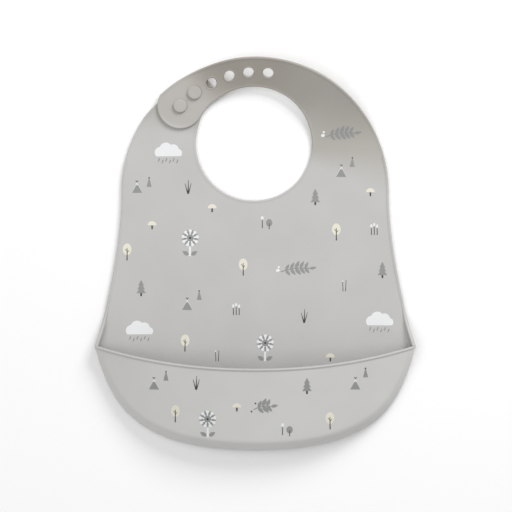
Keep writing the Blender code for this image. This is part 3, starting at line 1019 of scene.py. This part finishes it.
def pocket_lip(ts):
    """The bead's steps along the lip, on the right-hand side."""
    path = []
    for t in ts:
        at = lip_point(t)
        before, after = lip_point(max(t - 0.002, 0)), lip_point(t + 0.002)
        along = lifted(after) - lifted(before)
        n = face_normal(at)
        inward = n.cross(along).normalized()
        if inward.y > 0:
            inward = -inward
        size = mix(0.25, 1, ease(t / 0.05))
        path.append((lifted(at), inward * size, n * size))
    return path


pocket_ts = steps(0.006, 1, 110)
right_rows = [pocket_section(t) for t in pocket_ts]
right_depths = [
    CREST_DEPTH + (SHEET - CREST_DEPTH) * ease((t - 0.05) / 0.12) for t in pocket_ts
]
depths = right_depths + list(reversed(right_depths))[1:]
left_rows = [mirrored(row) for row in reversed(right_rows)]
pocket = skin("pocket_skin", right_rows + left_rows[1:], POCKET_SILICONE, depths)
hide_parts("pocket_wall", "pocket_front")
lip_path = pocket_lip(steps(0.004, 1, 90))
lip = rim("pocket_lip", lip_path + list(reversed(flip_x(lip_path)))[1:], LIP_BEAD)


def bend_pocket(piece):
    """Bakes a piece's placement on the pocket's front, which swings at its foot: the lip moves, the foot
    stays.
    """
    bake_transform(piece)


def corner_ball(name, sign):
    """The rounded corner where the flange's rim runs into the pocket's lip."""
    edit = bmesh.new()
    bmesh.ops.create_uvsphere(edit, u_segments=32, v_segments=20, radius=1)
    points = [vertex.co * CORNER_BALL for vertex in edit.verts]
    middle = Vector((CORNER.x, CORNER.y, CORNER_HEIGHT)) + CORNER_BALL_AT
    middle.x *= sign
    faces = [[vertex.index for vertex in face.verts] for face in edit.faces]
    edit.free()
    return closed_mesh(name, [middle + p for p in points], faces, BODY_SILICONE)


balls = [corner_ball("corner_right", 1), corner_ball("corner_left", -1)]
for piece in (pocket, lip, *balls):
    bend_pocket(piece)

# ------------------------------------------------------------------------------------------------
# The printed pattern: small plain country shapes in four silicone inks, scattered over the bib.
# Each ink is a thin raised film that was pad-printed on the moulded face and lies on it.
# ------------------------------------------------------------------------------------------------
INKS = {
    "white": ((0.735, 0.748, 0.752), 0.00005),
    "cream": ((0.705, 0.680, 0.575), 0.00005),
    "grey": ((0.262, 0.268, 0.262), 0.00008),
    "charcoal": ((0.045, 0.045, 0.047), 0.00011),
}
INK_SINK = 0.00012
OVERPRINT = 0.000003
SHOULDER_Y = 0.0833


def turned(x, y, a, b, turn):
    """The point a along and b across a direction from (x, y)."""
    return x + a * cos(turn) - b * sin(turn), y + a * sin(turn) + b * cos(turn)


def oval(x, y, wide, high, turn=0.0, corners=20):
    """An oval's outline in millimetres."""
    points = []
    for i in range(corners):
        a, b = wide / 2 * cos(2 * pi * i / corners), high / 2 * sin(2 * pi * i / corners)
        points.append(turned(x, y, a, b, turn))
    return points


def leaf(x, y, length, width, turn):
    """A pointed leaf from its stalk end at (x, y)."""
    half = [(length * u, width / 2 * sin(pi * u ** 0.8)) for u in steps(0, 1, 8)]
    outline = half + [(a, -b) for a, b in reversed(half[1:-1])]
    return [turned(x, y, a, b, turn) for a, b in outline]


def stroke(x0, y0, x1, y1, wide0, wide1):
    """A straight tapering line."""
    length = hypot(x1 - x0, y1 - y0)
    across = Vector(((y0 - y1) / length, (x1 - x0) / length))
    a, b = across * wide0 / 2, across * wide1 / 2
    return [(x0 + a.x, y0 + a.y), (x0 - a.x, y0 - a.y), (x1 - b.x, y1 - b.y), (x1 + b.x, y1 + b.y)]


def cloud_outline():
    """A flat-bottomed cloud: the outer line of four overlapping rounds."""
    lobes = [
        (-6.0, -0.4, 4.2), (-1.6, 2.2, 4.9), (3.9, 1.4, 4.3),
        (7.6, -1.0, 3.1), (-2.5, -2, 4.6), (3.5, -2, 4.6),
    ]
    points = []
    for i in range(96):
        way = Vector((cos(2 * pi * i / 96), sin(2 * pi * i / 96)))
        reach = 0
        for x, y, r in lobes:
            along = way.dot((x, y))
            inside = along * along - x * x - y * y + r * r
            if inside > 0:
                reach = max(reach, along + sqrt(inside))
        points.append((way.x * reach, max(way.y * reach, -3.4) + 1.6))
    return points


def daisy_petals():
    petals = []
    for i in range(9):
        way = pi / 2 + 2 * pi * i / 9
        petals.append(oval(4.6 * cos(way), 4.6 * sin(way), 4.2, 2.9, way, 14))
    return petals


def daisy_gaps():
    """The daisy's round middle and the slim leaves that show between its petals."""
    shapes = [oval(0, 0, 5.2, 5.2, 0, 24)]
    for i in range(9):
        way = pi / 2 + 2 * pi * (i + 0.5) / 9
        shapes.append(leaf(2.4 * cos(way), 2.4 * sin(way), 4.3, 1.7, way))
    return shapes


def sprig(length, leaves, leaf_length, leaf_width, rise):
    """A stem that curves up to the right, with pairs of leaves along it."""
    shapes = []
    ys = [rise * (u - 0.5) + 1.3 * cos(pi * (u - 0.5)) for u in steps(0, 1, leaves + 1)]
    xs = [length * (u - 0.5) for u in steps(0, 1, leaves + 1)]
    for i in range(leaves + 1):
        shapes.append(stroke(xs[i], ys[i], xs[i + 1], ys[i + 1], 0.75, 0.7))
    for i in range(1, leaves + 1):
        size = 1 - 0.28 * abs(2 * i / (leaves + 1) - 1)
        way = atan2(rise, length)
        for sign in (-1, 1):
            shapes.append(leaf(xs[i], ys[i], leaf_length * size, leaf_width * size, way + sign * 0.95))
    shapes.append(leaf(xs[-1], ys[-1], leaf_length * 0.8, leaf_width * 0.8, atan2(rise, length)))
    return shapes


MOTIFS = {
    "cloud": {
        "white": [cloud_outline()],
        "grey": [
            stroke(x + 0.5, -3.2 - d, x - 0.5, -5.8 - d, 0.8, 0.8)
            for x, d in ((-7, 0), (-4.2, 1.2), (-1.4, 0), (1.4, 1.2), (4.2, 0), (7, 1.2))
        ],
    },
    "sprig": {
        "grey": sprig(22, 5, 6.6, 2.7, 2.6),
        "white": [oval(-13.3, -0.3, 3.0, 2.4, 0.3, 16), oval(-12.6, 2.2, 1.9, 1.6, 0, 12)],
        "charcoal": [oval(15.6, 1.9, 0.9, 0.9, 0, 10)],
    },
    "daisy": {
        "grey": daisy_gaps() + [leaf(-0.9, -13, 5.6, 3.1, 2.6), leaf(0.9, -13, 5.6, 3.1, 0.54)],
        "white": daisy_petals() + [stroke(0, -6.5, 0, -14.0, 1.5, 1.5)],
        "charcoal": [oval(0, 0, 1.7, 1.7, 0, 16)],
    },
    "tent": {
        "white": [stroke(-3.6, -4.2, 0.3, 3.6, 0.45, 0.45), stroke(3.6, -4.2, -0.3, 3.6, 0.45, 0.45)],
        "grey": [[(-3.9, -4.5), (3.9, -4.5), (0.9, 1.2), (-0.9, 1.2)]],
        "charcoal": [stroke(-0.9, 4.9, 0.2, 3.4, 0.5, 0.4), stroke(0.9, 4.9, -0.2, 3.4, 0.5, 0.4)],
    },
    "cone": {
        "grey": [[(-1.9, -3.7), (1.9, -3.7), (0.35, 2.4), (-0.35, 2.4)]],
        "charcoal": [oval(0, 3.1, 1.15, 1.15, 0, 12)],
    },
    "tuft": {
        "charcoal": [
            stroke(0, -5.2, 0.25, 5.4, 1.0, 0.25), stroke(-0.2, -5.2, -2.4, 2.6, 0.9, 0.25),
            stroke(0.2, -5.2, 2.4, 2.9, 0.9, 0.25),
        ],
    },
    "toadstool": {
        "cream": [[(3.4 * cos(a), -0.2 + 3.1 * sin(a)) for a in steps(0, pi, 18)]],
        "charcoal": [stroke(0, -0.4, 0, -3.2, 1.3, 1.0)],
    },
    "pine": {
        "grey": [[
            (-3.6, -3.9), (3.6, -3.9), (1.6, -1.0), (2.9, -1.0), (1.2, 1.9), (2.2, 1.9), (0.1, 6.1),
            (-0.1, 6.1), (-2.2, 1.9), (-1.2, 1.9), (-2.9, -1.0), (-1.6, -1.0),
        ]],
        "charcoal": [stroke(0, -3.9, 0, -6.1, 1.3, 1.3)],
    },
    "birch": {
        "cream": [oval(0, 2.0, 6.6, 9.0, 0, 28)],
        "charcoal": [
            stroke(0, -6.5, 0, 3.0, 0.85, 0.45), stroke(0, -0.6, 1.5, 1.3, 0.45, 0.3),
            stroke(0, 0.4, -1.5, 2.2, 0.45, 0.3),
        ],
    },
    "bud": {
        "white": [oval(0, 3.0, 2.2, 3.0, 0, 16)],
        "charcoal": [stroke(0, -4.6, 0, 1.8, 0.6, 0.5)],
    },
    "bush": {
        "grey": [oval(0, 0.9, 4.8, 5.6, 0, 22)],
        "charcoal": [stroke(0, -4.0, 0, 0.6, 0.6, 0.4)],
    },
    "reeds": {
        "white": [oval(x, 3.2 - d, 1.7, 2.8, 0, 14) for x, d in ((-2.2, 0.9), (0, 0), (2.2, 1.2))],
        "charcoal": [stroke(x, -4.6, x, 1.9 - d, 0.6, 0.5) for x, d in ((-2.2, 0.9), (0, 0), (2.2, 1.2))],
    },
    "stalks": {
        "charcoal": [stroke(-0.9, -4.0, -1.3, 3.2, 0.5, 0.35), stroke(1.0, -4.0, 1.3, 4.4, 0.5, 0.35)],
        "white": [oval(-1.3, 3.6, 1.0, 1.2, 0, 10)],
    },
    "badge": {
        "grey": sprig(13, 3, 7.0, 3.1, 2.2),
        "charcoal": [oval(-8.2, -2.6, 1.3, 1.3, 0, 12), oval(-5.2, 3.6, 1.3, 1.3, 0, 12)],
    },
}
PLACES = {
    "cloud": [(-66.6, 76.4), (-88.7, -59.7), (94.9, -52.8)],
    "sprig": [(65.0, 91.0), (30.6, -12.3)],
    "daisy": [(-49.7, 12.2), (7.7, -68.1), (-36.0, -124.8)],
    "tent": [(65.8, 63.4), (-90.3, 51.2), (-52.0, -38.3), (-76.5, -98.0), (75.7, -98.0)],
    "cone": [(74.2, 70.3), (-81.1, 55.0), (-42.8, -31.4), (-67.3, -91.9), (83.4, -89.6)],
    "tuft": [(-51.3, 51.2), (37.5, -47.5), (-44.4, -97.2)],
    "toadstool": [(-32.9, 35.1), (88.0, 47.4), (-78.8, 22.1), (57.4, -78.9), (-13.8, -115.6)],
    "pine": [(45.9, 43.5), (97.2, -12.3), (-87.2, -26.1), (39.0, -99.5)],
    "birch": [(-97.9, 1.5), (62.0, 16.8), (-9.2, -10.0), (-53.6, -68.1), (-60.4, -120.9), (56.6, -126.3)],
    "bud": [(5.4, 24.4), (20.7, -132.4)],
    "bush": [(10.7, 22.9), (26.0, -133.9)],
    "reeds": [(91.0, 19.1), (-14.5, -42.1)],
    "stalks": [(68.1, -24.5), (-29.1, -78.1)],
    "badge": [(5.4, -116.3)],
}
KINDS = sorted(MOTIFS)


def zone_of(x, y):
    """Which moulded face a place is on."""
    if y < lip_y(x):
        return "pocket"
    if y < FOLD_JOIN_Y:
        return "lower"
    if x > NECK_RADIUS and y > SHOULDER_Y:
        return "shoulder"
    return "chest"


def stamp(name, outlines):
    """A flat stamp from closed outlines, cut fine enough to follow the moulding."""
    edit = bmesh.new()
    for index, outline in enumerate(outlines):
        high = index * OVERPRINT
        edit.faces.new([edit.verts.new((x / 1000, y / 1000, high)) for x, y in outline])
    edit.normal_update()
    for face in edit.faces:
        if face.normal.z < 0:
            face.normal_flip()
    bmesh.ops.triangulate(edit, faces=edit.faces)
    for _ in range(2):
        long_edges = [edge for edge in edit.edges if edge.calc_length() > 0.002]
        bmesh.ops.subdivide_edges(edit, edges=long_edges, cuts=1)
        bmesh.ops.triangulate(edit, faces=[face for face in edit.faces if len(face.verts) > 3])
    mesh = bpy.data.meshes.new(name)
    edit.to_mesh(mesh)
    edit.free()
    return bpy.data.objects.new(name, mesh)


def ink_sheets(colour):
    """The stamps of one ink in one collection, one for each kind of motif, in name order."""
    holder = bpy.data.collections.new("stamps_" + colour)
    for index, kind in enumerate(KINDS):
        name = "%s_%02d_%s" % (colour, index, kind)
        holder.objects.link(stamp(name, MOTIFS[kind].get(colour, [])))
    return holder


def node_of(tree, kind, **values):
    node = tree.nodes.new(kind)
    for key, value in values.items():
        setattr(node, key, value)
    return node


def printing_tree():
    """Stamps set on the places, laid on the moulded face and raised to a film."""
    tree = bpy.data.node_groups.new("print_on_face", "GeometryNodeTree")
    for name, kind in (
        ("Places", "NodeSocketGeometry"), ("Stamps", "NodeSocketCollection"),
        ("Face", "NodeSocketObject"), ("Ink", "NodeSocketMaterial"), ("Lift", "NodeSocketFloat"),
        ("Sink", "NodeSocketFloat"), ("Seed", "NodeSocketInt"), ("Turn", "NodeSocketFloat"),
        ("Level", "NodeSocketFloat"),
    ):
        tree.interface.new_socket(name, in_out="INPUT", socket_type=kind)
    tree.interface.new_socket("Film", in_out="OUTPUT", socket_type="NodeSocketGeometry")
    link = tree.links.new
    given = node_of(tree, "NodeGroupInput").outputs
    out = node_of(tree, "NodeGroupOutput")
    kind = node_of(tree, "GeometryNodeInputNamedAttribute", data_type="INT")
    kind.inputs["Name"].default_value = "kind"
    sheets = node_of(tree, "GeometryNodeCollectionInfo")
    sheets.inputs["Separate Children"].default_value = True
    sheets.inputs["Reset Children"].default_value = True
    link(given["Stamps"], sheets.inputs["Collection"])
    wobble = node_of(tree, "FunctionNodeRandomValue", data_type="FLOAT")
    wobble.inputs["Min"].default_value = -1
    wobble.inputs["Max"].default_value = 1
    link(given["Seed"], wobble.inputs["Seed"])
    scaled = node_of(tree, "ShaderNodeMath", operation="MULTIPLY")
    link(wobble.outputs["Value"], scaled.inputs[0])
    link(given["Turn"], scaled.inputs[1])
    around = node_of(tree, "ShaderNodeCombineXYZ")
    link(scaled.outputs[0], around.inputs["Z"])
    put = node_of(tree, "GeometryNodeInstanceOnPoints")
    put.inputs["Pick Instance"].default_value = True
    link(given["Places"], put.inputs["Points"])
    link(sheets.outputs[0], put.inputs["Instance"])
    link(kind.outputs["Attribute"], put.inputs["Instance Index"])
    link(around.outputs[0], put.inputs["Rotation"])
    real = node_of(tree, "GeometryNodeRealizeInstances")
    link(put.outputs[0], real.inputs[0])
    face = node_of(tree, "GeometryNodeObjectInfo")
    link(given["Face"], face.inputs[0])
    place = node_of(tree, "GeometryNodeInputPosition")
    above = node_of(tree, "ShaderNodeVectorMath", operation="ADD")
    above.inputs[1].default_value = (0, 0, 0.1)
    link(place.outputs[0], above.inputs[0])
    cast = node_of(tree, "GeometryNodeRaycast")
    cast.inputs["Ray Direction"].default_value = (0, 0, -1)
    cast.inputs["Ray Length"].default_value = 0.2
    link(face.outputs["Geometry"], cast.inputs["Target Geometry"])
    link(above.outputs[0], cast.inputs["Source Position"])
    landed = node_of(tree, "GeometryNodeSwitch", input_type="VECTOR")
    link(cast.outputs["Is Hit"], landed.inputs["Switch"])
    link(place.outputs[0], landed.inputs["False"])
    link(cast.outputs["Hit Position"], landed.inputs["True"])
    split = node_of(tree, "ShaderNodeSeparateXYZ")
    link(place.outputs[0], split.inputs[0])
    over = node_of(tree, "ShaderNodeMath", operation="SUBTRACT")
    link(split.outputs["Z"], over.inputs[0])
    link(given["Level"], over.inputs[1])
    depth = node_of(tree, "ShaderNodeMath", operation="SUBTRACT")
    link(given["Sink"], depth.inputs[0])
    link(over.outputs[0], depth.inputs[1])
    down = node_of(tree, "ShaderNodeCombineXYZ")
    link(depth.outputs[0], down.inputs["Z"])
    sunk = node_of(tree, "ShaderNodeVectorMath", operation="SUBTRACT")
    link(landed.outputs[0], sunk.inputs[0])
    link(down.outputs[0], sunk.inputs[1])
    lay = node_of(tree, "GeometryNodeSetPosition")
    link(real.outputs[0], lay.inputs["Geometry"])
    link(sunk.outputs[0], lay.inputs["Position"])
    raised = node_of(tree, "ShaderNodeMath", operation="ADD")
    link(given["Lift"], raised.inputs[0])
    link(given["Sink"], raised.inputs[1])
    film = node_of(tree, "GeometryNodeExtrudeMesh", mode="FACES")
    film.inputs["Individual"].default_value = False
    link(lay.outputs[0], film.inputs["Mesh"])
    link(raised.outputs[0], film.inputs["Offset Scale"])
    inked = node_of(tree, "GeometryNodeSetMaterial")
    link(film.outputs["Mesh"], inked.inputs["Geometry"])
    link(given["Ink"], inked.inputs["Material"])
    link(inked.outputs[0], out.inputs[0])
    return tree


def motif_points(zone):
    """The zone's places as a bare point mesh that carries each place's kind."""
    found = [
        (KINDS.index(kind), x / 1000, y / 1000)
        for kind, spots in PLACES.items() for x, y in spots if zone_of(x / 1000, y / 1000) == zone
    ]
    mesh = bpy.data.meshes.new("places_" + zone)
    mesh.from_pydata([(x, y, SHEET) for _, x, y in found], [], [])
    mark = mesh.attributes.new("kind", "INT", "POINT")
    mark.data.foreach_set("value", [index for index, _, _ in found])
    return mesh


def print_ink(zone, face, colour):
    """One ink on one face, as a plain mesh, or None if the ink isn't used there."""
    item = bpy.data.objects.new("print_%s_%s" % (zone, colour), motif_points(zone))
    bpy.context.scene.collection.objects.link(item)
    layer = item.modifiers.new("printing", "NODES")
    layer.node_group = PRINTING
    values = {
        "Stamps": STAMPS[colour], "Face": face, "Ink": INK_MATERIAL[colour],
        "Lift": INKS[colour][1], "Sink": INK_SINK, "Seed": 7, "Turn": 0.02, "Level": SHEET,
    }
    for socket in PRINTING.interface.items_tree:
        if socket.in_out == "INPUT" and socket.name in values:
            layer[socket.identifier] = values[socket.name]
    item.update_tag()
    bpy.context.view_layer.update()
    bake_modifiers(item)
    if item.data.polygons:
        return item
    bpy.data.objects.remove(item, do_unlink=True)
    return None


STAMPS = {colour: ink_sheets(colour) for colour in INKS}
INK_MATERIAL = {}
for colour, (tone, _) in INKS.items():
    INK_MATERIAL[colour] = silicone("ink_" + colour, tone, 0.05, 0.62, 0.00002)
PRINTING = printing_tree()


def bend_shoulder(piece):
    bend_strap(piece, STRAP_BENDS[0])


ZONES = {
    "pocket": (pocket, bend_pocket),
    "lower": (lower_panel, bend_lower),
    "chest": (chest, bend_upper),
    "shoulder": (shoulder_skin, bend_shoulder),
}
for zone, (face, bend) in ZONES.items():
    for colour in INKS:
        film = print_ink(zone, face, colour)
        if film:
            bend(film)

# ------------------------------------------------------------------------------------------------
# The stage: a pale floor, a small soft box at the upper right for the key light and a large one
# overhead, all seen from straight above.
# ------------------------------------------------------------------------------------------------
FLOOR_DROP = 0.0015
WORLD_LIGHT = 0.45
KEY_LIGHT = 13.5
OVERHEAD_LIGHT = 28.5


def floor_material():
    material = bpy.data.materials.new("floor_white")
    material.use_nodes = True
    tree = material.node_tree
    shader = tree.nodes["Principled BSDF"]
    shader.inputs["Roughness"].default_value = 0.9
    shader.inputs["Specular IOR Level"].default_value = 0.1
    place = tree.nodes.new("ShaderNodeTexCoord")
    fine = noise(tree, place.outputs["Object"], 0.004, 3)
    tone = tree.nodes.new("ShaderNodeMix")
    tone.data_type = "RGBA"
    tone.inputs["A"].default_value = (0.895, 0.895, 0.895, 1)
    tone.inputs["B"].default_value = (0.910, 0.910, 0.910, 1)
    tree.links.new(fine, tone.inputs["Factor"])
    tree.links.new(tone.outputs["Result"], shader.inputs["Base Color"])
    return material


bpy.ops.mesh.primitive_plane_add(size=8, location=(0, 0, -FLOOR_DROP))
floor = bpy.context.object
floor.name = "floor"
floor.data.materials.append(floor_material())

world = bpy.data.worlds.new("studio")
world.use_nodes = True
world.node_tree.nodes["Background"].inputs["Color"].default_value = (1, 1, 1, 1)
world.node_tree.nodes["Background"].inputs["Strength"].default_value = WORLD_LIGHT
bpy.context.scene.world = world


def soft_box(name, place, size, power):
    """A square lamp that faces the bib."""
    lamp = bpy.data.lights.new(name, "AREA")
    lamp.shape = "SQUARE"
    lamp.size = size
    lamp.energy = power
    item = bpy.data.objects.new(name, lamp)
    item.location = place
    item.rotation_euler = (-Vector(place)).to_track_quat("-Z", "Y").to_euler()
    bpy.context.scene.collection.objects.link(item)


soft_box("key", (0.6, 1.0, 0.9), 0.7, KEY_LIGHT)
soft_box("overhead", (-0.8, 0.0, 2.4), 2.4, OVERHEAD_LIGHT)

lens = bpy.data.cameras.new("camera")
lens.lens = 183.8
lens.sensor_width = 36
lens.clip_start = 0.1
lens.clip_end = 20
camera = bpy.data.objects.new("camera", lens)
camera.rotation_mode = "QUATERNION"
camera.location = (0.0006, -0.0016, 2.0)
bpy.context.scene.collection.objects.link(camera)
bpy.context.scene.camera = camera
bpy.context.scene.view_settings.view_transform = "Standard"
